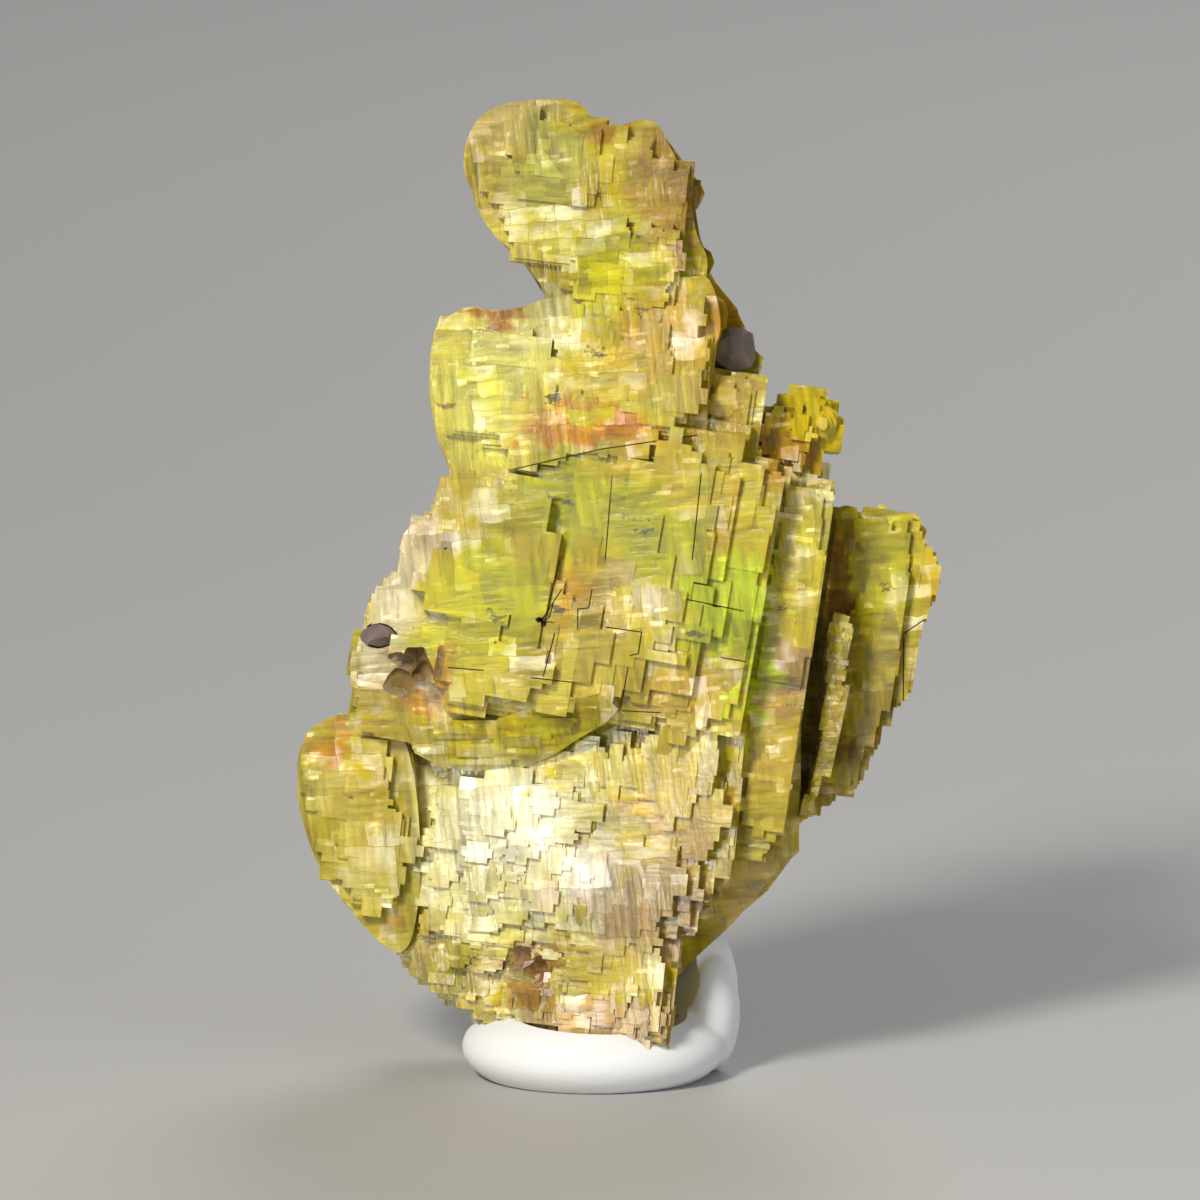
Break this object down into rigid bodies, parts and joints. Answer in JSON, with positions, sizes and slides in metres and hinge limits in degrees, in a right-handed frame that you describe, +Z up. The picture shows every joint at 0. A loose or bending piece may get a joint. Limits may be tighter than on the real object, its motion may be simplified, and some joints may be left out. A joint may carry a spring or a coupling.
{
  "type": "uranocircite crystal specimen",
  "caption": "Upright group of pearly yellow-green uranocircite plates, stepped like stacked sheets, with dark quartz grains, pressed into a small pad of white putty.",
  "frame": {"origin": "centre of the bounding box at the floor, under the putty", "axes": "+Z up, the pictured face of the crystals towards -Y, +X to that face's right"},
  "size_m": [0.0162, 0.0074, 0.0248],
  "materials": {
    "uranocircite": "pearly cleavage plates, waxy between them",
    "putty": "kneaded, matt",
    "quartz": "broken, glassy"
  },
  "bodies": {
    "root": {"crystal_group": "uranocircite", "putty_blob": "putty", "quartz_grain_left": "quartz", "quartz_grain_right": "quartz"}
  },
  "joints": []
}
